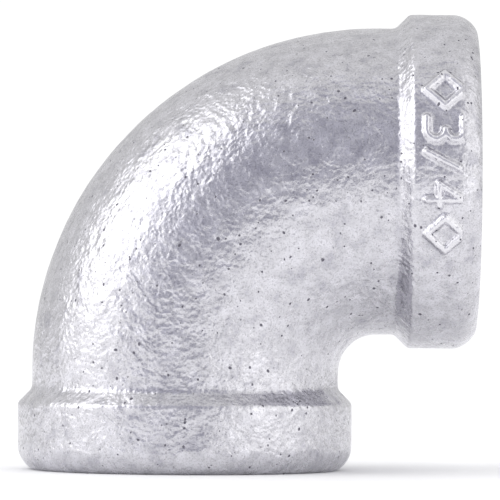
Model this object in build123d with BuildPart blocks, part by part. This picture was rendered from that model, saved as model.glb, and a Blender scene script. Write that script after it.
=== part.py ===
from build123d import *

import math
import os

# Pipe elbow of 90 degrees, size 3/4 (DN 20), with a female thread in each banded end. It is one
# malleable iron casting, hot-dip galvanised, then tapped and faced, which bares the iron there.
# The lower end opens down along the Z axis with its face at Z = 0. The side end opens along +X
# with its face at X = centre_to_end. The bend lies in the XZ plane, and the mark faces -Y.

# Driving dimensions, in mm. The outside is measured over the zinc.

centre_to_end = 33.3  # from the crossing of the two axes to each end face
band_radius = 19.3
band_width = 8.5  # from the end face to the middle of the shoulder's slope
body_radius = 17.7
shoulder_slope_length = 1.6  # how far the slope from band to body runs along the axis
neck_length = 2.8  # straight stretch from the middle of the slope to the start of the bend
mouth_edge_radius = 3.0
shoulder_edge_radius = 0.8
neck_fillet_radius = 1.0

zinc_thickness = 0.18
ledge_zinc_thickness = 0.25  # it pools on the ledges where the threads end
facing_stock = 0.25  # cast past each end face, and turned off after galvanising

waterway_radius = 13.9  # the cored passage, measured over the zinc

thread_pitch = 25.4 / 14  # 14 threads per inch
thread_major_radius = 26.441 / 2
thread_depth = 1.162
thread_flank_angle = 27.5  # half of the 55 degree form
thread_turns = 7
thread_mouth_clearance = 0.4  # how far the mouth chamfer opens past the major radius

mark_relief = 0.5  # height of the raised mark above the band
mark_stroke_width = 0.95
mark_setback = 4.2  # from the side end face to the middle of the mark
mark_rise = 1.9  # from the side axis up to the middle of the mark
figure_height = 4.2
figure_width = 2.4
figure_spacing = 3.7
lozenge_length = 3.6
lozenge_spacing = 8.1  # from the middle of the mark to the middle of each lozenge

# Places that follow from them.

bend_radius = centre_to_end - band_width - neck_length
bend_start = centre_to_end - bend_radius
thread_crest_radius = thread_major_radius - thread_depth
thread_mouth_radius = thread_major_radius + thread_mouth_clearance
thread_start = thread_mouth_radius - thread_crest_radius  # the foot of the 45 degree chamfer
thread_reach = thread_start + thread_turns * thread_pitch

lower_face = Plane.XY
side_face = Plane(origin=(centre_to_end, 0, centre_to_end), x_dir=(0, 1, 0), z_dir=(1, 0, 0))
# The side end is the lower end's mirror image across this slanting plane through the bend.
diagonal = Plane(origin=(0, 0, centre_to_end), x_dir=(0, 1, 0), z_dir=(1, 0, 1))
# The mark reads downwards, with the tops of its figures towards the side end face.
mark_plane = Plane(
    origin=(centre_to_end - mark_setback, 0, centre_to_end + mark_rise),
    x_dir=(0, 0, -1),
    z_dir=(0, -1, 0),
)


def cast_end(inset):
    """Band, shoulder and neck of the lower end, with its facing stock, drawn in by inset."""
    cast_face = inset - facing_stock
    slope_foot = band_width - shoulder_slope_length / 2 - inset / 2
    slope_top = slope_foot + shoulder_slope_length
    with BuildPart() as end:
        with BuildSketch(Plane.XZ):
            with BuildLine():
                FilletPolyline(
                    (0, cast_face),
                    (band_radius - inset, cast_face),
                    (band_radius - inset, slope_foot),
                    (body_radius - inset, slope_top),
                    (body_radius - inset, bend_start),
                    radius=[
                        mouth_edge_radius - inset,
                        shoulder_edge_radius - inset,
                        neck_fillet_radius + inset,
                    ],
                )
                Polyline((body_radius - inset, bend_start), (0, bend_start), (0, cast_face))
            make_face()
        revolve(axis=Axis.Z)
    return end.part


def bent_tube(tube_radius):
    """Quarter turn of solid round bar about the bend's centre, from the lower to the side end."""
    with BuildPart() as tube:
        with BuildSketch(Plane.XY.offset(bend_start)):
            Circle(tube_radius)
            # On a tight bend the section stops at the bend's centre, which makes a sharp crotch.
            with Locations((bend_radius - centre_to_end, 0)):
                Rectangle(2 * centre_to_end, 2 * centre_to_end, mode=Mode.INTERSECT)
        revolve(
            axis=Axis((bend_radius, 0, bend_start), (0, 1, 0)),
            revolution_arc=90,
        )
    return tube.part


def bar(start, end, width):
    """One straight round-ended stroke in the open sketch."""
    run = Vector(*end) - Vector(*start)
    middle = (Vector(*start) + Vector(*end)) / 2
    with Locations(Location((middle.X, middle.Y, 0), math.degrees(math.atan2(run.Y, run.X)))):
        SlotCenterToCenter(run.length, width)


def half_ring(radius, width):
    """The right half of a ring-shaped stroke, with round ends."""
    with BuildSketch() as ring:
        Circle(radius + width / 2)
        Circle(radius - width / 2, mode=Mode.SUBTRACT)
        with Locations((radius, 0)):
            Rectangle(2 * radius, 4 * radius, mode=Mode.INTERSECT)
        with Locations((0, -radius), (0, radius)):
            Circle(width / 2)
    return ring.sketch


def mark_strokes(width):
    """The size, 3/4, between two lozenges, drawn in round-ended strokes of the given width."""
    top = figure_height / 2
    bowl_radius = top / 2
    three_left = -figure_spacing - figure_width / 2
    three_middle = -figure_spacing + figure_width / 2 - bowl_radius
    four_left = figure_spacing - figure_width / 2
    four_stem = figure_spacing + figure_width / 4
    four_right = figure_spacing + figure_width / 2
    bowl = half_ring(bowl_radius, width)
    with BuildSketch(mark_plane) as strokes:
        for middle in (-lozenge_spacing, lozenge_spacing):
            for tip in (middle - lozenge_length / 2, middle + lozenge_length / 2):
                bar((tip, 0), (middle, top), width)
                bar((tip, 0), (middle, -top), width)
        for bowl_height in (-bowl_radius, bowl_radius):
            with Locations((three_middle, bowl_height)):
                add(bowl)
            bar((three_left, 2 * bowl_height), (three_middle, 2 * bowl_height), width)
        bar((-bowl_radius, -top), (bowl_radius, top), width)
        bar((four_stem, -top), (four_stem, top), width)
        bar((four_stem, top), (four_left, -top / 3), width)
        bar((four_left, -top / 3), (four_right, -top / 3), width)
    return strokes.sketch


def raised_mark(inset):
    """The mark's strokes, drawn out along -Y and topped by a cylinder over the side band."""
    strokes = mark_strokes(mark_stroke_width - 2 * inset)
    with BuildPart() as mark:
        for stroke_face in strokes.faces():
            extrude(stroke_face, amount=band_radius + mark_relief)
        with Locations(Location((centre_to_end, 0, centre_to_end), (0, 90, 0))):
            Cylinder(
                radius=band_radius + mark_relief - inset,
                height=2 * centre_to_end,
                mode=Mode.INTERSECT,
            )
    return mark.part


def faced_outside(inset):
    """The whole outside as one solid, drawn in by inset, with both ends faced off."""
    end = cast_end(inset)
    bend = bent_tube(body_radius - inset)
    mark = raised_mark(inset)
    with BuildPart() as outside:
        add(end)
        mirror(about=diagonal)
        add(bend)
        add(mark)
        split(bisect_by=lower_face, keep=Keep.TOP)
        split(bisect_by=side_face, keep=Keep.BOTTOM)
    return outside.part


def cored_waterway(outset, end_outset):
    """The cored passage between the two threaded lands, with its wall and its ends grown."""
    bend = bent_tube(waterway_radius + outset)
    with BuildPart() as waterway:
        with BuildSketch(lower_face):
            Circle(waterway_radius + outset)
        extrude(amount=bend_start)
        mirror(about=diagonal)
        add(bend)
        split(bisect_by=lower_face.offset(thread_reach - end_outset), keep=Keep.TOP)
        split(bisect_by=side_face.offset(end_outset - thread_reach), keep=Keep.BOTTOM)
    return waterway.part


def tapped_bores():
    """What the tap and its countersink cut from both ends.

    The thread's form, pitch and depth are real, and each turn is a full ring.
    """
    flank_run = thread_depth * math.tan(math.radians(thread_flank_angle))
    flat_width = thread_pitch / 2 - flank_run
    outline = [(0, -1), (thread_mouth_radius + 1, -1), (thread_crest_radius, thread_start)]
    for turn in range(thread_turns):
        groove_start = thread_start + turn * thread_pitch + flat_width / 2
        groove_end = groove_start + 2 * flank_run + flat_width
        outline += [
            (thread_crest_radius, groove_start),
            (thread_major_radius, groove_start + flank_run),
            (thread_major_radius, groove_end - flank_run),
            (thread_crest_radius, groove_end),
        ]
    outline += [(thread_crest_radius, thread_reach + 1), (0, thread_reach + 1)]
    with BuildPart() as bores:
        with BuildSketch(Plane.XZ):
            with BuildLine():
                Polyline(*outline, close=True)
            make_face()
        revolve(axis=Axis.Z)
        mirror(about=diagonal)
    return bores.part


bare_outside = faced_outside(zinc_thickness)
bare_waterway = cored_waterway(zinc_thickness, ledge_zinc_thickness)
bores = tapped_bores()

with BuildPart() as iron_casting:
    add(bare_outside)
    add(bare_waterway, mode=Mode.SUBTRACT)
    add(bores, mode=Mode.SUBTRACT)

zinc_outside = faced_outside(0)

with BuildPart() as outer_zinc_coat:
    add(zinc_outside)
    add(bare_outside, mode=Mode.SUBTRACT)

zinc_waterway = cored_waterway(0, 0)

with BuildPart() as waterway_zinc_coat:
    add(bare_waterway)
    add(zinc_waterway, mode=Mode.SUBTRACT)
    add(bores, mode=Mode.SUBTRACT)

iron_casting.part.label = "iron_casting"
outer_zinc_coat.part.label = "outer_zinc_coat"
waterway_zinc_coat.part.label = "waterway_zinc_coat"

os.makedirs("parts", exist_ok=True)
export_step(iron_casting.part, "parts/iron_casting.step")
export_step(outer_zinc_coat.part, "parts/outer_zinc_coat.step")
export_step(waterway_zinc_coat.part, "parts/waterway_zinc_coat.step")
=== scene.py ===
"""A 3/4 inch galvanised pipe elbow with banded ends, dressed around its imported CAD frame.

The elbow is one malleable iron casting. It was dipped in molten zinc, and then its two ends
were tapped and faced, which bared the iron there. Sizes below are in millimetres.
"""

import logging
import math
from collections.abc import Callable, Iterator
from contextlib import contextmanager
from dataclasses import dataclass, field
from enum import Enum
from typing import ClassVar

import bmesh
import bpy
from mathutils import Matrix, Vector

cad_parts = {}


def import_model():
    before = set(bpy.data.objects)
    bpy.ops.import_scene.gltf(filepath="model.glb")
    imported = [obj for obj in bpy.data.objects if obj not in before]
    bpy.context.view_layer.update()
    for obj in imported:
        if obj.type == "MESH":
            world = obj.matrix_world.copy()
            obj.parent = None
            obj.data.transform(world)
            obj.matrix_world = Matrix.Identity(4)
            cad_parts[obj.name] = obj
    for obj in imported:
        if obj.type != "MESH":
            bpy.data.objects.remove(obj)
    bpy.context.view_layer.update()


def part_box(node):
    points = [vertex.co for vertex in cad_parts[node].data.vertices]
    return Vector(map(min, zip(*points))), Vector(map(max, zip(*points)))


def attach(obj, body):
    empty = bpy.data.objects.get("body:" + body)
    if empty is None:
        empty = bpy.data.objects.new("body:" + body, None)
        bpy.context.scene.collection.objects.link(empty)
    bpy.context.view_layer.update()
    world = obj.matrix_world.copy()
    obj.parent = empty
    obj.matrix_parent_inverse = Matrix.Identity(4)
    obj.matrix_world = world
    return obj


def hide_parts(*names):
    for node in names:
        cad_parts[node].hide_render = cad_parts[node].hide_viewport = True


MM = 0.001
log = logging.getLogger("pipe_elbow")

Ring = tuple[float, float]
Span = tuple[float, float]
Socket = bpy.types.NodeSocket
Piece = bpy.types.Object


class Cadnode(Enum):
    """The CAD nodes that the pieces stand for."""

    IRON = "iron_casting"
    OUTER_ZINC = "outer_zinc_coat"
    WATERWAY_ZINC = "waterway_zinc_coat"


class MetalSlot(Enum):
    """The record's material slots."""

    IRON = "iron"
    ZINC_OUTSIDE = "zinc_outside"
    ZINC_INSIDE = "zinc_inside"


# ---------------------------------------------------------------- bench work


def select_alone(piece: Piece) -> None:
    """Selects one piece and nothing else, and makes it the active one."""
    bpy.ops.object.select_all(action="DESELECT")
    piece.select_set(True)
    bpy.context.view_layer.objects.active = piece


@contextmanager
def in_edit_mode(piece: Piece) -> Iterator[None]:
    """Opens one piece alone in edit mode, and closes it afterwards.

    Args:
        piece: The mesh object to shape.
    """
    select_alone(piece)
    bpy.ops.object.mode_set(mode="EDIT")
    bpy.ops.mesh.select_mode(type="VERT")
    try:
        yield
    finally:
        bpy.ops.object.mode_set(mode="OBJECT")


def pick(piece: Piece, wanted: Callable[[Vector], bool]) -> None:
    """Selects, in edit mode, the vertices whose place passes a test, and nothing else.

    Args:
        piece: The mesh object that is open in edit mode.
        wanted: Takes a vertex's place in metres and says whether to select it.
    """
    mesh = bmesh.from_edit_mesh(piece.data)
    for vertex in mesh.verts:
        vertex.select_set(wanted(vertex.co))
    mesh.select_flush(True)
    mesh.select_flush(False)
    bmesh.update_edit_mesh(piece.data)


def apply_modifier(piece: Piece, modifier: bpy.types.Modifier) -> None:
    """Applies one modifier to its piece.

    Args:
        piece: The object that has the modifier.
        modifier: The modifier to apply.
    """
    select_alone(piece)
    bpy.ops.object.modifier_apply(modifier=modifier.name)


@dataclass(frozen=True)
class Lumps:
    """Cloudy unevenness of a surface, in millimetres."""

    name: str
    size: float
    octaves: int
    depth: float
    mid_level: float


def displace(piece: Piece, lumps: Lumps, group: str) -> None:
    """Moves a piece's surface by cloudy lumps.

    Args:
        piece: The mesh object.
        lumps: What they are like.
        group: The vertex group that says where they lie.
    """
    clouds = bpy.data.textures.new(lumps.name, "CLOUDS")
    clouds.noise_scale = lumps.size * MM
    clouds.noise_depth = lumps.octaves
    moved = piece.modifiers.new(lumps.name, "DISPLACE")
    moved.texture = clouds
    moved.texture_coords = "LOCAL"
    moved.strength = lumps.depth * MM
    moved.mid_level = lumps.mid_level
    moved.vertex_group = group
    apply_modifier(piece, moved)


def write_attribute(piece: Piece, name: str, values: list[float]) -> None:
    """Writes one number per vertex, which the piece's material reads by name.

    Args:
        piece: The mesh object.
        name: The attribute's name.
        values: One number for each vertex.
    """
    mesh = piece.data
    attribute = mesh.attributes.get(name) or mesh.attributes.new(name, "FLOAT", "POINT")
    attribute.data.foreach_set("value", values)


def join(pieces: list[Piece]) -> Piece:
    """Joins pieces into the first of them, merges their meeting loops and turns faces outwards.

    Args:
        pieces: The mesh objects to join.

    Returns:
        The joined object.
    """
    bpy.ops.object.select_all(action="DESELECT")
    for piece in pieces:
        piece.select_set(True)
    bpy.context.view_layer.objects.active = pieces[0]
    bpy.ops.object.join()
    with in_edit_mode(pieces[0]):
        bpy.ops.mesh.select_all(action="SELECT")
        bpy.ops.mesh.remove_doubles(threshold=0.002 * MM)
        bpy.ops.mesh.normals_make_consistent(inside=False)
    return pieces[0]


def half_turned(piece: Piece, turn: Matrix) -> Piece:
    """Copies a piece, mesh and all, and turns the copy's mesh.

    Args:
        piece: The object to copy.
        turn: The matrix that takes the first end of the elbow to the second.

    Returns:
        The copy.
    """
    copy = piece.copy()
    copy.data = piece.data.copy()
    bpy.context.scene.collection.objects.link(copy)
    copy.data.transform(turn)
    return copy


def rounded_profile(corners: list[Ring], radii: list[float], step: float) -> list[Ring]:
    """Rounds a profile's inner corners and samples it at about even steps.

    Args:
        corners: Radius and height of each corner, in order along the profile.
        radii: The rounding of every corner but the first and last.
        step: The longest distance between two samples.

    Returns:
        Radius and height of every sample.
    """
    samples: list[Ring] = [corners[0]]

    def run_to(end: Ring) -> None:
        start = samples[-1]
        length = math.dist(start, end)
        count = max(1, math.ceil(length / step - 1e-6))
        if length > 1e-6:
            samples.extend(
                (
                    start[0] + (end[0] - start[0]) * n / count,
                    start[1] + (end[1] - start[1]) * n / count,
                )
                for n in range(1, count + 1)
            )

    for before, corner, after, radius in zip(corners, corners[1:], corners[2:], radii):
        into = Vector(corner) - Vector(before)
        out = Vector(after) - Vector(corner)
        into.normalize()
        out.normalize()
        turn = math.acos(max(-1.0, min(1.0, into.dot(out))))
        setback = radius * math.tan(turn / 2)
        start = Vector(corner) - into * setback
        run_to((start.x, start.y))
        side = 1 if into.x * out.y - into.y * out.x > 0 else -1
        centre = start + Vector((-into.y, into.x)) * side * radius
        count = max(3, math.ceil(radius * turn / (0.6 * step)))
        for n in range(1, count + 1):
            spoke = start - centre
            spoke.rotate(Matrix.Rotation(side * turn * n / count, 2))
            samples.append((centre.x + spoke.x, centre.y + spoke.y))
    run_to(corners[-1])
    return samples


# ---------------------------------------------------------------- finishes


def linear(colour: str) -> tuple[float, float, float, float]:
    """Turns an sRGB hex colour into linear red, green, blue and full alpha.

    Args:
        colour: Six hex digits after a hash sign.

    Returns:
        The linear colour with its alpha.
    """
    parts = [int(colour[n : n + 2], 16) / 255 for n in (1, 3, 5)]
    r, g, b = (p / 12.92 if p <= 0.04045 else ((p + 0.055) / 1.055) ** 2.4 for p in parts)
    return (r, g, b, 1.0)


def pattern_scale(size_mm: float) -> float:
    """The texture scale that gives a pattern of that size on coordinates in metres."""
    return 1.0 / (size_mm * MM)


@dataclass
class NodeBench:
    """One node tree, and the ways to add to it."""

    tree: bpy.types.NodeTree

    def add_node(
        self, kind: str, settings: dict | None = None, links: dict | None = None
    ) -> bpy.types.Node:
        """Adds a node, sets its properties and sockets, and links its inputs.

        Args:
            kind: The node's type name, such as ShaderNodeBump.
            settings: Values by property name, or by input socket name or number.
            links: Output sockets by input socket name or number.

        Returns:
            The new node.
        """
        node = self.tree.nodes.new(kind)
        for name, value in (settings or {}).items():
            if isinstance(name, str) and hasattr(node, name):
                setattr(node, name, value)
            else:
                node.inputs[name].default_value = value
        for name, source in (links or {}).items():
            self.tree.links.new(source, node.inputs[name])
        return node

    def noise(
        self, where: Socket, size_mm: float, detail: float = 2.0, roughness: float = 0.5
    ) -> Socket:
        """Adds a noise pattern.

        Args:
            where: The place it is read at.
            size_mm: The size of its largest lumps.
            detail: How many finer layers lie over them.
            roughness: How strong each finer layer is beside the one before.

        Returns:
            The pattern's height.
        """
        settings = {"Scale": pattern_scale(size_mm), "Detail": detail, "Roughness": roughness}
        return self.add_node("ShaderNodeTexNoise", settings, {"Vector": where}).outputs["Fac"]

    def ramp(self, source: Socket, stops: list[tuple]) -> Socket:
        """Adds a colour ramp with the given stops, fed by a source.

        Args:
            source: The value to look up.
            stops: Position and either a grey level or a hex colour, from low to high.

        Returns:
            The ramp's colour.
        """
        node = self.add_node("ShaderNodeValToRGB", links={"Fac": source})
        elements = node.color_ramp.elements
        while len(elements) < len(stops):
            elements.new(1.0)
        for element, (place, shade) in zip(elements, stops):
            element.position = place
            element.color = linear(shade) if isinstance(shade, str) else (shade, shade, shade, 1.0)
        return node.outputs["Color"]

    def mix(
        self, share: Socket | float, under: Socket | str, over: Socket | str, blend: str = "MIX"
    ) -> Socket:
        """Adds a mix of two colours.

        Args:
            share: How much of the second colour shows.
            under: The first colour, as a socket or in hex.
            over: The second colour, as a socket or in hex.
            blend: How the second lies on the first.

        Returns:
            The mixed colour.
        """
        settings, links = {"data_type": "RGBA", "blend_type": blend}, {}
        for number, term in ((0, share), (6, under), (7, over)):
            if isinstance(term, Socket):
                links[number] = term
            else:
                settings[number] = linear(term) if isinstance(term, str) else term
        return self.add_node("ShaderNodeMix", settings, links).outputs[2]

    def spread(
        self, source: Socket, span: Span, onto: Span = (0.0, 1.0), smooth: bool = False
    ) -> Socket:
        """Adds a mapping from one span of values to another, held at its ends.

        Args:
            source: The value to map.
            span: The source's two end values.
            onto: What the two become.
            smooth: Whether the values ease in and out.

        Returns:
            The mapped value.
        """
        settings = {"interpolation_type": "SMOOTHSTEP"} if smooth else {}
        names = ("From Min", "From Max", "To Min", "To Max")
        settings.update(zip(names, (*span, *onto)))
        return self.add_node("ShaderNodeMapRange", settings, {"Value": source}).outputs["Result"]

    def bump(self, height: Socket, depth_mm: float, below: Socket | None = None) -> Socket:
        """Adds relief from a pattern.

        Args:
            height: The pattern.
            depth_mm: How far the pattern stands out, or sinks in if negative.
            below: The normal that it lies on, if there is coarser relief under it.

        Returns:
            The new normal.
        """
        settings = {"Strength": 1.0, "Distance": abs(depth_mm) * MM, "invert": depth_mm < 0}
        links = {"Height": height, "Normal": below} if below else {"Height": height}
        return self.add_node("ShaderNodeBump", settings, links).outputs["Normal"]

    def calculate(self, operation: str, *terms: Socket | float) -> Socket:
        """Adds a sum.

        Args:
            operation: What is done with the terms.
            terms: Sockets and numbers, in order.

        Returns:
            The sum's value.
        """
        links = {n: term for n, term in enumerate(terms) if isinstance(term, Socket)}
        settings = {n: term for n, term in enumerate(terms) if n not in links}
        settings["operation"] = operation
        return self.add_node("ShaderNodeMath", settings, links).outputs["Value"]

    def attribute(self, name: str) -> Socket:
        """Adds the reading of a number that is stored on the mesh by name."""
        return self.add_node("ShaderNodeAttribute", {"attribute_name": name}).outputs["Fac"]

    def feed_metal(self, colour: Socket, roughness: Socket, normal: Socket) -> None:
        """Makes the tree's shader metal and feeds it.

        Args:
            colour: The metal's colour.
            roughness: How rough it is.
            normal: The normal with all relief.
        """
        shader = self.tree.nodes["Principled BSDF"]
        self.tree.links.new(colour, shader.inputs["Base Color"])
        self.tree.links.new(roughness, shader.inputs["Roughness"])
        self.tree.links.new(normal, shader.inputs["Normal"])
        shader.inputs["Metallic"].default_value = 1.0


class Finish:
    """What all finishes share: a named material, dressed by each finish in its own way."""

    name: str

    def material(self) -> bpy.types.Material:
        """Builds the material.

        Returns:
            The finished material.
        """
        material = bpy.data.materials.new(self.name)
        material.use_nodes = True
        bench = NodeBench(material.node_tree)
        self.dress(bench, bench.add_node("ShaderNodeTexCoord").outputs["Object"])
        return material

    def dress(self, bench: NodeBench, place: Socket) -> None:
        """Builds the finish's own nodes.

        Args:
            bench: The material's nodes.
            place: The object's own coordinates, in metres.
        """
        raise NotImplementedError


@dataclass(frozen=True)
class HotDipZinc(Finish):
    """Hot-dip zinc on cast iron.

    The bath leaves a bright silvery skin with a faint violet cast. It lies over the sand-cast
    iron in shallow dimples like orange peel, with small dark pits where the flux burned out,
    sparkling facets where the melt drained, and duller cloudy patches. Handling rubs the
    crowns of the mark and the bands' edges bright, and the same light colour there is also a
    painted highlight. A painted shade darkens the concave fillet where each neck meets the body.
    """

    name: str = "hot_dip_zinc_on_cast_iron"
    bright: str = "#DFDEE4"
    plain: str = "#D2D1D6"
    dull: str = "#BFBEC6"
    pit: str = "#77757F"
    # Light colour for the rubbed crowns and edges, which is also a painted highlight there.
    rubbed_and_highlight: str = "#ECEBEF"
    roughness_low: float = 0.15
    roughness_high: float = 0.34
    dimple_mm: float = 1.5
    ripple_mm: float = 0.55
    grit_mm: float = 0.2
    pit_mm: float = 0.85
    cloud_mm: float = 1.8
    dimple_depth_mm: float = 0.2
    ripple_depth_mm: float = 0.07
    grit_depth_mm: float = 0.028
    warp_mm: float = 2.6
    warp_reach_mm: float = 1.1
    patch_mm: float = 2.2
    pit_depth_mm: float = 0.04

    def dress(self, bench: NodeBench, place: Socket) -> None:
        """Builds the zinc's nodes.

        Args:
            bench: The material's nodes.
            place: The object's own coordinates, in metres.
        """
        clouds = bench.noise(place, self.cloud_mm, 5.0, 0.62)
        shifted = self.shift(bench, place)
        dimples = bench.noise(shifted, self.dimple_mm, 2.0, 0.45)
        ripples = bench.add_node(
            "ShaderNodeTexVoronoi",
            {"feature": "SMOOTH_F1", "Scale": pattern_scale(self.ripple_mm), "Smoothness": 0.6},
            {"Vector": shifted},
        ).outputs["Distance"]
        grit = bench.noise(place, self.grit_mm, 3.0, 0.6)
        patches = bench.noise(shifted, self.patch_mm, 4.0, 0.7)
        pits = self.pits(bench, shifted)
        stops = [(0.32, self.dull), (0.47, self.plain), (0.64, self.bright)]
        base = bench.ramp(clouds, stops)
        speckle = bench.ramp(grit, [(0.34, 0.66), (0.5, 1.0), (1.0, 1.0)])
        colour = bench.mix(0.85, base, speckle, "MULTIPLY")
        # Painted shade: the dull colour darkens the concave fillet where each neck meets the body.
        colour = bench.mix(bench.attribute("painted_fillet_shade"), colour, self.dull)
        # Painted highlight: the light rubbed colour on the mark's crowns and the bands' edges is
        # partly wear and partly a painted highlight.
        colour = bench.mix(bench.attribute("rubbed_and_highlight"), colour, self.rubbed_and_highlight)
        colour = bench.mix(pits, colour, self.pit)
        smoothness = (self.roughness_low, self.roughness_high)
        roughness = bench.spread(patches, (0.34, 0.66), smoothness)
        roughness = bench.calculate("MULTIPLY_ADD", pits, 0.3, roughness)
        normal = bench.bump(dimples, self.dimple_depth_mm)
        normal = bench.bump(ripples, self.ripple_depth_mm, normal)
        normal = bench.bump(grit, self.grit_depth_mm, normal)
        normal = bench.bump(pits, -self.pit_depth_mm, normal)
        bench.feed_metal(colour, roughness, normal)

    def shift(self, bench: NodeBench, place: Socket) -> Socket:
        """Bends the coordinates a little, so that no pattern runs in straight cells.

        Args:
            bench: The material's nodes.
            place: The coordinates.

        Returns:
            The bent coordinates.
        """
        reach = self.warp_reach_mm * MM
        return bench.add_node(
            "ShaderNodeVectorMath",
            {"operation": "MULTIPLY_ADD", 1: (reach, reach, reach)},
            {0: bench.noise(place, self.warp_mm).node.outputs["Color"], 2: place},
        ).outputs["Vector"]

    def pits(self, bench: NodeBench, shifted: Socket) -> Socket:
        """Scatters round pits over the cells that have a high random number.

        Args:
            bench: The material's nodes.
            shifted: The bent coordinates.

        Returns:
            1 in a pit and 0 elsewhere.
        """
        cells = bench.add_node(
            "ShaderNodeTexVoronoi",
            {"Scale": pattern_scale(self.pit_mm), "Randomness": 1.0},
            {"Vector": shifted},
        )
        size = bench.calculate("MULTIPLY_ADD", cells.outputs["Color"], 0.38, -0.115)
        edge = bench.calculate("SUBTRACT", size, cells.outputs["Distance"])
        return bench.spread(edge, (0.0, 0.05))


@dataclass(frozen=True)
class CoredZinc(Finish):
    """Hot-dip zinc on the cored waterway.

    Inside, the sand core left a rougher wall, and the zinc froze on it duller and lumpier,
    with ash-grey patches where the melt could not drain.
    """

    name: str = "hot_dip_zinc_on_cored_iron"
    bright: str = "#B9B8BF"
    dull: str = "#77757F"
    lump_mm: float = 2.4
    grain_mm: float = 0.45
    lump_depth_mm: float = 0.2
    grain_depth_mm: float = 0.05

    def dress(self, bench: NodeBench, place: Socket) -> None:
        """Builds the cored wall's nodes.

        Args:
            bench: The material's nodes.
            place: The object's own coordinates, in metres.
        """
        lumps = bench.noise(place, self.lump_mm, 4.0, 0.6)
        grain = bench.noise(place, self.grain_mm, 3.0, 0.6)
        colour = bench.ramp(lumps, [(0.34, self.dull), (0.62, self.bright)])
        grainy = bench.ramp(grain, [(0.35, 0.6), (0.6, 1.0)])
        colour = bench.mix(0.8, colour, grainy, "MULTIPLY")
        roughness = bench.spread(lumps, (0.3, 0.7), (0.38, 0.66))
        normal = bench.bump(lumps, self.lump_depth_mm)
        normal = bench.bump(grain, self.grain_depth_mm, normal)
        bench.feed_metal(colour, roughness, normal)


@dataclass(frozen=True)
class TurnedIron(Finish):
    """Malleable iron, faced and tapped.

    The cutter leaves a darker, warmer grey than the zinc, with fine rings around each axis
    where its point passed, specks of graphite and a thin smear of cutting oil.
    """

    name: str = "malleable_iron_turned_and_tapped"
    bright: str = "#B4B1AE"
    plain: str = "#8C8986"
    speck: str = "#4B4947"
    feed_mm: float = 0.22
    ring_depth_mm: float = 0.012
    stain_mm: float = 3.5
    graphite_mm: float = 0.3

    def dress(self, bench: NodeBench, place: Socket) -> None:
        """Builds the cut iron's nodes.

        Args:
            bench: The material's nodes.
            place: The object's own coordinates, in metres.
        """
        rings = bench.add_node(
            "ShaderNodeTexNoise",
            {
                "noise_dimensions": "1D",
                "Scale": pattern_scale(self.feed_mm),
                "Detail": 3.0,
                "Roughness": 0.7,
            },
            {"W": bench.attribute("tool_track")},
        ).outputs["Fac"]
        stains = bench.noise(place, self.stain_mm, 4.0, 0.6)
        graphite = bench.noise(place, self.graphite_mm, 2.0, 0.5)
        colour = bench.ramp(stains, [(0.35, self.plain), (0.65, self.bright)])
        ringed = bench.ramp(rings, [(0.3, 0.7), (0.6, 1.0)])
        colour = bench.mix(0.6, colour, ringed, "MULTIPLY")
        specks = bench.ramp(graphite, [(0.66, 0.0), (0.74, 1.0)])
        colour = bench.mix(specks, colour, self.speck)
        roughness = bench.spread(stains, (0.3, 0.7), (0.24, 0.44))
        bench.feed_metal(colour, roughness, bench.bump(rings, self.ring_depth_mm))


@dataclass(frozen=True)
class MattFloor(Finish):
    """Matt white studio card, which gives an even pale ground with no gloss."""

    name: str = "matt_white_card"
    pale: str = "#F7F7F8"
    shade: str = "#F1F1F3"
    fibre_mm: float = 40.0

    def dress(self, bench: NodeBench, place: Socket) -> None:
        """Builds the card's nodes.

        Args:
            bench: The material's nodes.
            place: The object's own coordinates, in metres.
        """
        fibres = bench.noise(place, self.fibre_mm)
        colour = bench.ramp(fibres, [(0.3, self.shade), (0.7, self.pale)])
        shader = bench.tree.nodes["Principled BSDF"]
        bench.tree.links.new(colour, shader.inputs["Base Color"])
        shader.inputs["Roughness"].default_value = 0.9
        shader.inputs["Specular IOR Level"].default_value = 0.1


# ---------------------------------------------------------------- the elbow's form


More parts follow.
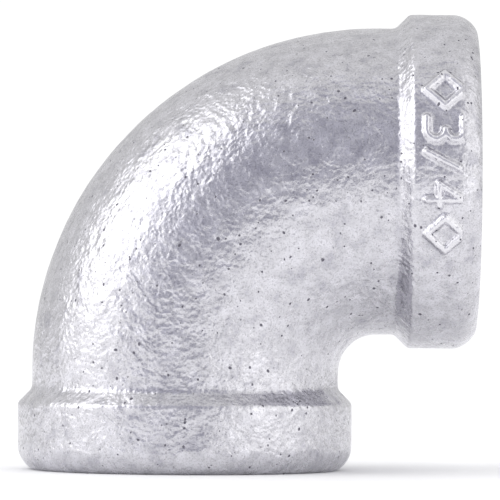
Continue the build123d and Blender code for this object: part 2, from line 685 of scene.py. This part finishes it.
@dataclass
class ElbowForm:
    """The sizes that all pieces share, in millimetres, with the ends as the frame has them."""

    centre_to_end: float
    band_radius: float
    mark_top: float
    band_width: float = 8.5
    body_radius: float = 17.7
    shoulder_slope: float = 1.6
    neck_length: float = 2.8
    mouth_edge_radius: float = 3.0
    shoulder_edge_radius: float = 0.8
    neck_fillet_radius: float = 1.0
    facing_stock: float = 0.25
    waterway_radius: float = 13.9
    thread_pitch: float = 25.4 / 14
    thread_depth: float = 1.162
    thread_major_radius: float = 26.441 / 2
    thread_flank: float = math.radians(27.5)
    thread_turns: int = 7
    mouth_clearance: float = 0.4

    @classmethod
    def from_frame(cls) -> "ElbowForm":
        """Reads the outer sizes from the frame's boxes."""
        low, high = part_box(Cadnode.OUTER_ZINC.value)
        return cls(centre_to_end=high.x / MM, band_radius=-low.x / MM, mark_top=-low.y / MM)

    @property
    def bend_radius(self) -> float:
        """Radius of the bend's centreline."""
        return self.centre_to_end - self.band_width - self.neck_length

    @property
    def bend_start(self) -> float:
        """Height above an end face at which the bend starts."""
        return self.centre_to_end - self.bend_radius

    @property
    def crest_radius(self) -> float:
        """Radius of the thread's crests."""
        return self.thread_major_radius - self.thread_depth

    @property
    def mouth_radius(self) -> float:
        """Radius of the mouth's chamfer at the end face."""
        return self.thread_major_radius + self.mouth_clearance

    @property
    def thread_reach(self) -> float:
        """Depth from the end face to the end of the threaded land."""
        return self.mouth_radius - self.crest_radius + self.thread_turns * self.thread_pitch

    def end_depth(self, co: Vector) -> float:
        """How far in from the nearer end face a place in metres lies, in millimetres."""
        return min(co.z / MM, self.centre_to_end - co.x / MM)

    @property
    def second_end(self) -> Matrix:
        """The half turn about the bend's slanting axis that takes the lower end to the side."""
        pivot = Matrix.Translation(Vector((self.bend_radius, 0, self.bend_start)) * MM)
        turn = Matrix.Rotation(math.pi, 4, Vector((-1, 0, 1)))
        return pivot @ turn @ pivot.inverted()

    def cast_profile(self, inset: float, step: float) -> list[Ring]:
        """The cast outside of an end, from the start of the bend down to the end face.

        Args:
            inset: How far the profile is drawn in from the zinc's surface.
            step: The longest distance between two samples.

        Returns:
            Radius and height of every sample.
        """
        face = inset - self.facing_stock
        foot = self.band_width - self.shoulder_slope / 2 - inset / 2
        body, band = self.body_radius - inset, self.band_radius - inset
        samples = rounded_profile(
            [
                (body, self.bend_start),
                (body, foot + self.shoulder_slope),
                (band, foot),
                (band, face),
                (0.0, face),
            ],
            [
                self.neck_fillet_radius + inset,
                self.shoulder_edge_radius - inset,
                self.mouth_edge_radius - inset,
            ],
            step,
        )
        kept = [ring for ring in samples if ring[1] > 0.02]
        edge = self.mouth_edge_radius - inset
        rim = band - edge + math.sqrt(edge**2 - (face + edge) ** 2)
        return [*kept, (rim, 0.0)]


@dataclass
class SweptPiece:
    """A piece made of two like ends and a bend between them."""

    form: ElbowForm
    name: str
    segments: int  # vertices in each ring
    node: ClassVar[Cadnode]
    slot: ClassVar[MetalSlot]
    coat: ClassVar[float] = 0.18
    sharp_angle: ClassVar[float]  # edges over this many degrees stay sharp

    def model(self) -> Piece:
        """Models the piece's mesh.

        Returns:
            The mesh object.
        """
        raise NotImplementedError

    def ring_chain(self, rings: list[Ring]) -> Piece:
        """Starts a circle and extrudes it from ring to ring.

        Args:
            rings: Radius and height of each ring, in order.

        Returns:
            The tube-like object.
        """
        radius, height = rings[0]
        bpy.ops.object.select_all(action="DESELECT")
        bpy.ops.mesh.primitive_circle_add(
            vertices=self.segments, radius=radius * MM, location=(0, 0, height * MM)
        )
        piece = bpy.context.active_object
        bpy.ops.object.transform_apply(location=True, rotation=False, scale=False)
        with in_edit_mode(piece):
            bpy.ops.mesh.select_all(action="SELECT")
            for (last_radius, last_height), (radius, height) in zip(rings, rings[1:]):
                bpy.ops.mesh.extrude_region_move(
                    TRANSFORM_OT_translate={"value": (0, 0, (height - last_height) * MM)}
                )
                share = radius / last_radius
                bpy.ops.transform.resize(
                    value=(share, share, 1.0), center_override=(0, 0, height * MM)
                )
        return piece

    def spin_bend(self, piece: Piece, radius: float, steps: int) -> None:
        """Carries the ring of one radius at the start of the bend round to the side end.

        Args:
            piece: The piece that has the ring.
            radius: The ring's radius.
            steps: How many steps the quarter turn takes.
        """
        form = self.form
        height = form.bend_start * MM

        def on_ring(co: Vector) -> bool:
            away = abs(math.hypot(co.x, co.y) - radius * MM)
            return abs(co.z - height) < 0.004 * MM and away < 0.03 * MM

        with in_edit_mode(piece):
            pick(piece, on_ring)
            bpy.ops.mesh.spin(
                steps=steps,
                angle=-math.pi / 2,
                center=(form.bend_radius * MM, 0, height),
                axis=(0, 1, 0),
            )

    def bisect(
        self,
        piece: Piece,
        place: tuple[float, float, float],
        outwards: tuple[float, float, float],
    ) -> None:
        """Cuts a piece through and clears what lies past the cut.

        Args:
            piece: The piece to cut.
            place: A point on the cut, in millimetres.
            outwards: The way that points to what is cleared.
        """
        with in_edit_mode(piece):
            bpy.ops.mesh.select_all(action="SELECT")
            bpy.ops.mesh.bisect(
                plane_co=Vector(place) * MM,
                plane_no=outwards,
                clear_outer=True,
                threshold=0.0005 * MM,
            )

    def cut_bend(self, radius: float, depth: float, steps: int) -> Piece:
        """Spins the waterway's bend and cuts it square at both threaded lands.

        Args:
            radius: The tube's radius.
            depth: How far in from each end face it is cut.
            steps: How many steps the quarter turn takes.

        Returns:
            The open tube.
        """
        form = self.form
        tube = self.ring_chain([(radius, form.bend_start - 0.5), (radius, form.bend_start)])
        self.spin_bend(tube, radius, steps)
        self.bisect(tube, (0, 0, depth), (0, 0, -1))
        self.bisect(tube, (form.centre_to_end - depth, 0, 0), (1, 0, 0))
        return tube

    def fill_ledges(self, piece: Piece, depth: float) -> None:
        """Fills the flat ledge between the two open rims that lie at one depth in each end.

        Args:
            piece: The piece that has the rims.
            depth: The rims' distance from their end face.
        """
        form = self.form
        near = 0.004 * MM
        for at_depth in (
            lambda co: abs(co.z - depth * MM) < near,
            lambda co: abs(form.centre_to_end * MM - co.x - depth * MM) < near,
        ):
            with in_edit_mode(piece):
                bpy.ops.mesh.select_mode(type="EDGE")
                bpy.ops.mesh.select_all(action="DESELECT")
                mesh = bmesh.from_edit_mesh(piece.data)
                rims = [
                    edge
                    for edge in mesh.edges
                    if edge.is_boundary and all(at_depth(vertex.co) for vertex in edge.verts)
                ]
                for edge in rims:
                    edge.select_set(True)
                bmesh.update_edit_mesh(piece.data)
                if rims:
                    bpy.ops.mesh.fill(use_beauty=True)
                bpy.ops.mesh.select_all(action="SELECT")
                bpy.ops.mesh.normals_make_consistent(inside=False)

    def build(self, material: bpy.types.Material) -> None:
        """Models the piece, names, smooths and dresses it, and sets it on the frame.

        Args:
            material: The piece's material.
        """
        piece = self.model()
        piece.name = self.name
        piece.data.name = self.name
        piece.data.materials.clear()
        piece.data.materials.append(material)
        select_alone(piece)
        bpy.ops.object.shade_smooth_by_angle(angle=math.radians(self.sharp_angle))
        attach(piece, "root")
        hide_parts(self.node.value)
        triangles = sum(len(face.vertices) - 2 for face in piece.data.polygons)
        log.info("%s: %d triangles, finish %s", piece.name, triangles, material.name)


@dataclass
class RaisedMark:
    """The size, 3/4, between two lozenges, raised on the side band's front, in millimetres."""

    form: ElbowForm
    setback: float = 4.2
    rise: float = 1.9
    figure_height: float = 4.2
    figure_width: float = 2.4
    figure_spacing: float = 3.7
    lozenge_length: float = 3.6
    lozenge_spacing: float = 8.1
    crown: float = 0.1
    skirt: float = 0.7
    strokes: list[tuple[Vector, Vector]] = field(default_factory=list)

    def __post_init__(self) -> None:
        """Draws the strokes' centrelines, with the mark's own right and up."""
        top = self.figure_height / 2
        bowl = top / 2
        self.line((-bowl, -top), (bowl, top))
        for side in (-1, 1):
            middle = side * self.lozenge_spacing
            tips = (middle - self.lozenge_length / 2, middle + self.lozenge_length / 2)
            for tip in tips:
                self.line((tip, 0), (middle, top))
                self.line((tip, 0), (middle, -top))
            left = -self.figure_spacing - self.figure_width / 2
            bend = -self.figure_spacing + self.figure_width / 2 - bowl
            self.line((left, 2 * side * bowl), (bend, 2 * side * bowl))
            points = [
                (bend + bowl * math.cos(a), side * bowl + bowl * math.sin(a))
                for a in (math.radians(d) for d in range(-90, 91, 15))
            ]
            for start, end in zip(points, points[1:]):
                self.line(start, end)
        left = self.figure_spacing - self.figure_width / 2
        stem = self.figure_spacing + self.figure_width / 4
        right = self.figure_spacing + self.figure_width / 2
        self.line((stem, -top), (stem, top))
        self.line((stem, top), (left, -top / 3))
        self.line((left, -top / 3), (right, -top / 3))

    def line(self, start: Ring, end: Ring) -> None:
        """Adds one straight stroke."""
        self.strokes.append((Vector(start), Vector(end)))

    def on_band(self, co: Vector, margin: float) -> bool:
        """Whether a place lies under the mark or within a margin around it.

        Args:
            co: The place in metres.
            margin: How far past the strokes still counts, in millimetres.
        """
        across, up = self.drawn_place(co)
        reach = self.lozenge_spacing + self.lozenge_length / 2 + margin
        return co.y < 0 and abs(across) < reach and abs(up) < self.figure_height / 2 + margin

    def drawn_place(self, co: Vector) -> Ring:
        """A place on the band in the mark's own right and up."""
        form = self.form
        across = (form.centre_to_end + self.rise) - co.z / MM
        up = co.x / MM - (form.centre_to_end - self.setback)
        return across, up

    def height(self, co: Vector) -> float:
        """How far up a stroke's side a place is.

        Args:
            co: The place in metres.

        Returns:
            1 on a stroke's crown and 0 off the strokes.
        """
        here = Vector(self.drawn_place(co))
        nearest = 9.0
        for start, end in self.strokes:
            run = end - start
            along = max(0.0, min(1.0, (here - start).dot(run) / run.length_squared))
            nearest = min(nearest, (here - start - run * along).length)
        fall = max(0.0, min(1.0, (self.skirt - nearest) / (self.skirt - self.crown)))
        return fall * fall * (3 - 2 * fall)


class OuterZinc(SweptPiece):
    """The zinc on the cast outside, as a thin closed shell with the raised mark."""

    node = Cadnode.OUTER_ZINC
    slot = MetalSlot.ZINC_OUTSIDE
    sharp_angle = 50
    step = 0.36
    bend_steps = 108
    hidden_steps = 24
    peel_depth = 0.07
    swell_depth = 0.06

    def end(self) -> Piece:
        """Models the lower end's shell, from the bend's outer ring round to its inner ring."""
        outer = self.form.cast_profile(0.0, self.step)
        inner = self.form.cast_profile(self.coat + 0.05, 1.5)
        rim = self.form.cast_profile(self.coat, 1.5)[-1]
        return self.ring_chain([*outer, rim, *reversed(inner[:-1])])

    def model(self) -> Piece:
        """Models the piece.

        Returns:
            The mesh object.
        """
        form = self.form
        lower = self.end()
        side = half_turned(lower, form.second_end)
        self.spin_bend(lower, form.body_radius, self.bend_steps)
        self.spin_bend(lower, form.body_radius - self.coat - 0.05, self.hidden_steps)
        piece = join([lower, side])
        self.raise_mark(piece)
        self.roughen(piece)
        self.note_wear_and_painted_light(piece)
        return piece

    def is_skin(self, co: Vector) -> bool:
        """Whether a place is on the shell's outer surface, rather than its hidden inside."""
        form = self.form
        x, y, z = co.x / MM, co.y / MM, co.z / MM
        if z < form.bend_start:
            off_axis, height = math.hypot(x, y), z
        elif x > form.bend_radius:
            off_axis, height = math.hypot(z - form.centre_to_end, y), form.centre_to_end - x
        else:
            out = math.hypot(x - form.bend_radius, z - form.bend_start) - form.bend_radius
            return math.hypot(out, y) > form.body_radius - 0.5 * self.coat
        if height > form.band_width + form.shoulder_slope:
            return off_axis > form.body_radius - 0.5 * self.coat
        if height < form.mouth_edge_radius:
            corner = form.band_radius - form.mouth_edge_radius
            reach = form.mouth_edge_radius - form.facing_stock - height
            return math.hypot(off_axis - corner, reach) > form.mouth_edge_radius - 0.07
        if height < form.band_width - form.shoulder_slope / 2 - 0.6:
            return off_axis > form.band_radius - 0.07
        return off_axis > self.shoulder_radius(height) - 0.09

    def shoulder_radius(self, height: float) -> float:
        """The skin's radius at a height on the shoulder, read off the cast profile."""
        rings = self.form.cast_profile(0.0, 0.1)
        return min(rings, key=lambda ring: abs(ring[1] - height))[0]

    def raise_mark(self, piece: Piece) -> None:
        """Divides the band finely under the mark and raises the strokes from it.

        Args:
            piece: The shell.
        """
        form = self.form
        mark = RaisedMark(form)

        def under_mark(co: Vector) -> bool:
            off_axis = math.hypot(co.z - form.centre_to_end * MM, co.y)
            return off_axis > (form.band_radius - 0.05) * MM and mark.on_band(co, 1.0)

        with in_edit_mode(piece):
            pick(piece, under_mark)
            bpy.ops.mesh.subdivide(number_cuts=3, quadcorner="INNERVERT")
        group = piece.vertex_groups.new(name="mark")
        heights = [
            mark.height(vertex.co) if under_mark(vertex.co) else 0.0
            for vertex in piece.data.vertices
        ]
        for index, height in enumerate(heights):
            if height > 0:
                group.add([index], height, "REPLACE")
        # The strokes' crowns get the light rubbed colour, partly wear and partly a painted
        # highlight.
        write_attribute(piece, "rubbed_and_highlight", [0.75 * height for height in heights])
        raised = piece.modifiers.new("mark", "DISPLACE")
        raised.strength = (form.mark_top - form.band_radius) * MM
        raised.mid_level = 0.0
        raised.vertex_group = group.name
        apply_modifier(piece, raised)

    def roughen(self, piece: Piece) -> None:
        """Sinks the sand-cast unevenness into the skin, and leaves the faced ends flat.

        Args:
            piece: The shell.
        """
        form = self.form
        group = piece.vertex_groups.new(name="cast_skin")
        for vertex in piece.data.vertices:
            if self.is_skin(vertex.co):
                depth = form.end_depth(vertex.co)
                group.add([vertex.index], max(0.0, min(1.0, depth / 0.9)), "REPLACE")
        for lumps in (
            Lumps("cast_swells", 6.0, 1, self.swell_depth, 1.0),
            Lumps("orange_peel", 1.5, 2, self.peel_depth, 1.0),
        ):
            displace(piece, lumps, group.name)

    def note_wear_and_painted_light(self, piece: Piece) -> None:
        """Writes where hands rub the zinc bright, with a painted highlight there, and where a
        painted shade darkens the neck fillet, for the material.

        Args:
            piece: The shell.
        """
        form = self.form
        edge = form.band_width - form.shoulder_slope / 2
        root = edge + form.shoulder_slope
        rubbed_and_highlight = [item.value for item in piece.data.attributes["rubbed_and_highlight"].data]
        painted_fillet_shade = []
        for index, vertex in enumerate(piece.data.vertices):
            depth = form.end_depth(vertex.co)
            # The bands' shoulder edges get a faint rubbed colour, partly wear and partly a painted
            # highlight.
            on_edge = max(0.0, 1.0 - abs(depth - edge + 0.2) / 0.5)
            rubbed_and_highlight[index] = max(rubbed_and_highlight[index], 0.2 * on_edge)
            # Painted shade: a quarter of the dull colour in the concave fillet where the shoulder
            # meets the body.
            painted_fillet_shade.append(0.25 * max(0.0, 1.0 - abs(depth - root - 0.1) / 0.5))
        write_attribute(piece, "rubbed_and_highlight", rubbed_and_highlight)
        write_attribute(piece, "painted_fillet_shade", painted_fillet_shade)


class WaterwayZinc(SweptPiece):
    """The zinc on the cored waterway between the two threaded lands, as a closed shell."""

    node = Cadnode.WATERWAY_ZINC
    slot = MetalSlot.ZINC_INSIDE
    sharp_angle = 60
    bend_steps = 64
    lump_depth = 0.3

    def model(self) -> Piece:
        """Models the piece.

        Returns:
            The mesh object.
        """
        form = self.form
        wall, depth = form.waterway_radius, form.thread_reach - self.coat
        tube = self.cut_bend(wall, depth, self.bend_steps)
        lip = self.ring_chain([(form.crest_radius + 0.6, depth), (form.crest_radius, depth)])
        piece = join([tube, lip, half_turned(lip, form.second_end)])
        self.fill_ledges(piece, depth)
        self.lay_unevenly(piece)
        with in_edit_mode(piece):
            bpy.ops.mesh.select_all(action="SELECT")
            bpy.ops.mesh.normals_make_consistent(inside=True)
        shell = piece.modifiers.new("coat", "SOLIDIFY")
        shell.thickness = self.coat * MM
        shell.offset = -1.0
        apply_modifier(piece, shell)
        return piece

    def lay_unevenly(self, piece: Piece) -> None:
        """Lets the zinc lie in lumps on the cored wall, away from the two lips.

        Args:
            piece: The waterway's surface.
        """
        form = self.form
        group = piece.vertex_groups.new(name="cored_wall")
        for vertex in piece.data.vertices:
            depth = form.end_depth(vertex.co)
            weight = max(0.0, min(1.0, (depth - form.thread_reach) / 1.5))
            group.add([vertex.index], weight, "REPLACE")
        displace(piece, Lumps("cored_lumps", 3.5, 2, self.lump_depth, 0.5), group.name)


class IronCasting(SweptPiece):
    """The casting, which shows where the threads and the end faces were cut."""

    node = Cadnode.IRON
    slot = MetalSlot.IRON
    sharp_angle = 32
    hidden_inset = 0.24
    bend_steps = 36
    runout = 1.2

    def model(self) -> Piece:
        """Models the piece.

        Returns:
            The mesh object.
        """
        form = self.form
        depth = form.thread_reach
        shell = self.ring_chain(self.face_rings())
        thread = self.thread()
        lower = join([shell, thread])
        self.fill_ledges(lower, 0.0)
        side = half_turned(lower, form.second_end)
        self.spin_bend(lower, form.body_radius - self.hidden_inset, self.bend_steps)
        tube = self.cut_bend(form.waterway_radius + self.coat + 0.35, depth, self.bend_steps)
        piece = join([lower, side, tube])
        self.fill_ledges(piece, depth)
        self.note_tool_track(piece)
        return piece

    def face_rings(self) -> list[Ring]:
        """The faced end from the mouth outwards, and the hidden wall up to the bend."""
        form = self.form
        rim = form.cast_profile(self.coat, 1.5)[-1]
        first = form.mouth_radius + 0.25
        count = 6
        face = [(first + (rim[0] - first) * n / count, 0.0) for n in range(count)]
        hidden = form.cast_profile(self.hidden_inset, 1.5)
        return [*face, rim, *reversed(hidden[:-1])]

    def thread_profile(self) -> list[Ring]:
        """One pitch of the rounded 55 degree form, from mid-crest to mid-crest."""
        form = self.form
        run = form.thread_depth * math.tan(form.thread_flank)
        flat = form.thread_pitch / 2 - run
        crest, root = form.crest_radius, form.thread_major_radius
        corners = [
            (crest, 0.0),
            (crest, flat / 2),
            (root, flat / 2 + run),
            (root, flat / 2 + run + flat),
            (crest, flat / 2 + 2 * run + flat),
            (crest, form.thread_pitch),
        ]
        rounding = 0.48 * flat / math.tan((math.pi / 2 - form.thread_flank) / 2)
        return rounded_profile(corners, [rounding] * 4, 0.16)

    def thread(self) -> Piece:
        """Winds the thread, then chamfers its mouth and runs its far end out.

        Returns:
            The open threaded tube, from the end face to the end of the land.
        """
        form = self.form
        profile = self.thread_profile()
        lead_in = 1.2 * form.thread_pitch
        bpy.ops.object.select_all(action="DESELECT")
        bpy.ops.mesh.primitive_plane_add(size=MM)
        tube = bpy.context.active_object
        with in_edit_mode(tube):
            bpy.ops.mesh.select_all(action="SELECT")
            bpy.ops.mesh.merge(type="CENTER")
            start = Vector((profile[0][0], 0, profile[0][1] - lead_in)) * MM
            bpy.ops.transform.translate(value=start)
            for last, place in zip(profile, profile[1:]):
                run = Vector((place[0] - last[0], 0, place[1] - last[1])) * MM
                bpy.ops.mesh.extrude_region_move(TRANSFORM_OT_translate={"value": run})
        winding = tube.modifiers.new("winding", "SCREW")
        winding.screw_offset = form.thread_pitch * MM
        winding.iterations = form.thread_turns + 4
        winding.steps = self.segments
        winding.render_steps = self.segments
        winding.use_merge_vertices = True
        winding.merge_threshold = 0.002 * MM
        apply_modifier(tube, winding)
        self.cut_mouth_and_runout(tube)
        with in_edit_mode(tube):
            bpy.ops.mesh.select_all(action="SELECT")
            bpy.ops.mesh.remove_doubles(threshold=0.004 * MM)
        self.bisect(tube, (0, 0, 0), (0, 0, -1))
        self.bisect(tube, (0, 0, form.thread_reach), (0, 0, 1))
        return tube

    def cut_mouth_and_runout(self, tube: Piece) -> None:
        """Moves the thread's points out to the mouth's chamfer, and in where the tap ran out.

        Args:
            tube: The wound thread.
        """
        form = self.form
        for vertex in tube.data.vertices:
            x, y, z = (value / MM for value in vertex.co)
            radius = math.hypot(x, y)
            left = max(0.0, min(1.0, (form.thread_reach - z) / self.runout))
            wanted = form.crest_radius + (radius - form.crest_radius) * left
            wanted = max(wanted, form.mouth_radius - z)
            vertex.co.x *= wanted / radius
            vertex.co.y *= wanted / radius

    def note_tool_track(self, piece: Piece) -> None:
        """Writes how far the cutter had come at each place, for the material's rings.

        Args:
            piece: The casting.
        """
        form = self.form
        tracks = []
        for vertex in piece.data.vertices:
            x, y, z = (value / MM for value in vertex.co)
            if z < form.centre_to_end - x:
                tracks.append((math.hypot(x, y) + z) * MM)
            else:
                off_axis = math.hypot(y, z - form.centre_to_end)
                tracks.append((off_axis + form.centre_to_end - x + 40.0) * MM)
        write_attribute(piece, "tool_track", tracks)


# ---------------------------------------------------------------- the studio


@dataclass
class Softbox:
    """One rectangular light, aimed at the elbow's middle. Places are in metres."""

    name: str
    place: tuple[float, float, float]
    width: float
    height: float
    watts: float
    colour: str = "#FFFFFF"

    def hang(self, aim: Vector) -> None:
        """Hangs the light, facing its aim.

        Args:
            aim: Where it points, in metres.
        """
        lamp = bpy.data.lights.new(self.name, "AREA")
        lamp.shape = "RECTANGLE"
        lamp.size = self.width
        lamp.size_y = self.height
        lamp.energy = self.watts
        lamp.color = linear(self.colour)[:3]
        holder = bpy.data.objects.new(self.name, lamp)
        bpy.context.scene.collection.objects.link(holder)
        holder.location = self.place
        holder.rotation_euler = (aim - Vector(self.place)).to_track_quat("-Z", "Y").to_euler()


@dataclass
class Studio:
    """A pale floor in a white tent with bright sides, open above the camera."""

    aim: Vector
    tent: str = "#FFFFFF"
    opening: str = "#A9A8E6"
    tent_level: float = 0.9
    side_level: float = 1.28
    back_level: float = 0.8
    opening_way: tuple[float, float, float] = (-0.18, -0.82, 0.54)
    opening_drop: float = 0.28
    opening_angles: tuple[float, float] = (48.0, 14.0)
    floor_level: float = 1.2
    background_level: float = 1.05

    def set_up(self) -> None:
        """Lays the floor, raises the tent, hangs the lights and sets the picture's tones."""
        self.lay_floor()
        self.raise_tent()
        for box in (
            Softbox("key_softbox", (-0.56, -0.1, 0.42), 0.5, 0.62, 0.95),
            Softbox("fill_softbox", (0.5, -0.42, 0.02), 0.4, 0.3, 0.12),
        ):
            box.hang(self.aim)
        bpy.context.scene.view_settings.view_transform = "Standard"

    def lay_floor(self) -> None:
        """Lays a round of white card under the elbow."""
        bpy.ops.object.select_all(action="DESELECT")
        bpy.ops.mesh.primitive_circle_add(
            vertices=96, radius=2.5, fill_type="NGON", location=(0, 0, 0)
        )
        floor = bpy.context.active_object
        floor.name = "studio_floor"
        floor.data.transform(Matrix.Translation((0, 0, -0.02 * MM)))
        floor.data.materials.append(MattFloor().material())

    def raise_tent(self) -> None:
        """Surrounds the elbow with soft white, brighter at the sides and darker in front."""
        world = bpy.data.worlds.new("white_tent")
        world.use_nodes = True
        bpy.context.scene.world = world
        world.node_tree.nodes.clear()
        bench = NodeBench(world.node_tree)
        way = bench.add_node("ShaderNodeTexCoord").outputs["Generated"]
        opening = Vector(self.opening_way).normalized()
        dot = {"operation": "DOT_PRODUCT", 1: opening}
        towards = bench.add_node("ShaderNodeVectorMath", dot, {0: way}).outputs["Value"]
        edge, middle = (math.cos(math.radians(angle)) for angle in self.opening_angles)
        darker = bench.spread(towards, (edge, middle), (0.0, self.opening_drop), smooth=True)
        axes = bench.add_node("ShaderNodeSeparateXYZ", links={"Vector": way})
        sideways = bench.calculate("ABSOLUTE", axes.outputs["X"])
        levels = (self.tent_level, self.side_level)
        panels = bench.spread(sideways, (0.3, 0.85), levels, smooth=True)
        behind = bench.spread(axes.outputs["Y"], (0.0, 0.45), smooth=True)
        around = {"data_type": "FLOAT", 3: self.back_level}
        around = bench.add_node("ShaderNodeMix", around, {0: behind, 2: panels}).outputs[0]
        glow = {
            "Color": bench.mix(darker, self.tent, self.opening),
            "Strength": bench.calculate("SUBTRACT", around, darker),
        }
        shown = bench.add_node("ShaderNodeBackground", links=glow).outputs["Background"]
        ray = bench.add_node("ShaderNodeLightPath")
        for kind, strength in (
            ("Is Diffuse Ray", self.floor_level),
            ("Is Camera Ray", self.background_level),
        ):
            even = {"Color": linear(self.tent), "Strength": strength}
            plain = bench.add_node("ShaderNodeBackground", even).outputs["Background"]
            links = {0: ray.outputs[kind], 1: shown, 2: plain}
            shown = bench.add_node("ShaderNodeMixShader", links=links).outputs["Shader"]
        bench.add_node("ShaderNodeOutputWorld", links={"Surface": shown})


@dataclass
class ViewCamera:
    """A long lens, almost level and square to the elbow's side. Places are in millimetres."""

    aim: tuple[float, float, float] = (7.4, 0.0, 25.9)
    across: float = 0.0
    back: float = 586.5
    up: float = -0.577
    lens: float = 366.18
    pitch: float = -0.007
    roll: float = 0.0055
    swing: float = 0.0057

    def set_up(self) -> None:
        """Places the camera and makes it the scene's own."""
        turn = (
            Matrix.Rotation(self.swing, 3, "Z")
            @ Matrix.Rotation(self.pitch, 3, "X")
            @ Matrix.Rotation(self.roll, 3, "Y")
        ).inverted()
        lens = bpy.data.cameras.new("side_view")
        lens.lens = self.lens
        lens.sensor_width = 36.0
        lens.clip_start = 0.01
        lens.clip_end = 20.0
        camera = bpy.data.objects.new("side_view", lens)
        bpy.context.scene.collection.objects.link(camera)
        place = Vector(self.aim) + turn @ Vector((self.across, -self.back, self.up))
        upright = Matrix.Rotation(math.pi / 2, 3, "X")
        camera.matrix_world = Matrix.Translation(place * MM) @ (turn @ upright).to_4x4()
        bpy.context.scene.camera = camera


def main() -> None:
    """Builds the elbow around the frame, lights it and sets the camera."""
    logging.basicConfig(level=logging.INFO, format="%(name)s: %(message)s")
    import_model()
    form = ElbowForm.from_frame()
    IronCasting(form, "malleable_casting", 128).build(TurnedIron().material())
    OuterZinc(form, "zinc_skin_outside", 256).build(HotDipZinc().material())
    WaterwayZinc(form, "zinc_skin_waterway", 128).build(CoredZinc().material())
    Studio(Vector((7.0, 0.0, 26.3)) * MM).set_up()
    ViewCamera().set_up()


if __name__ == "__main__":
    main()
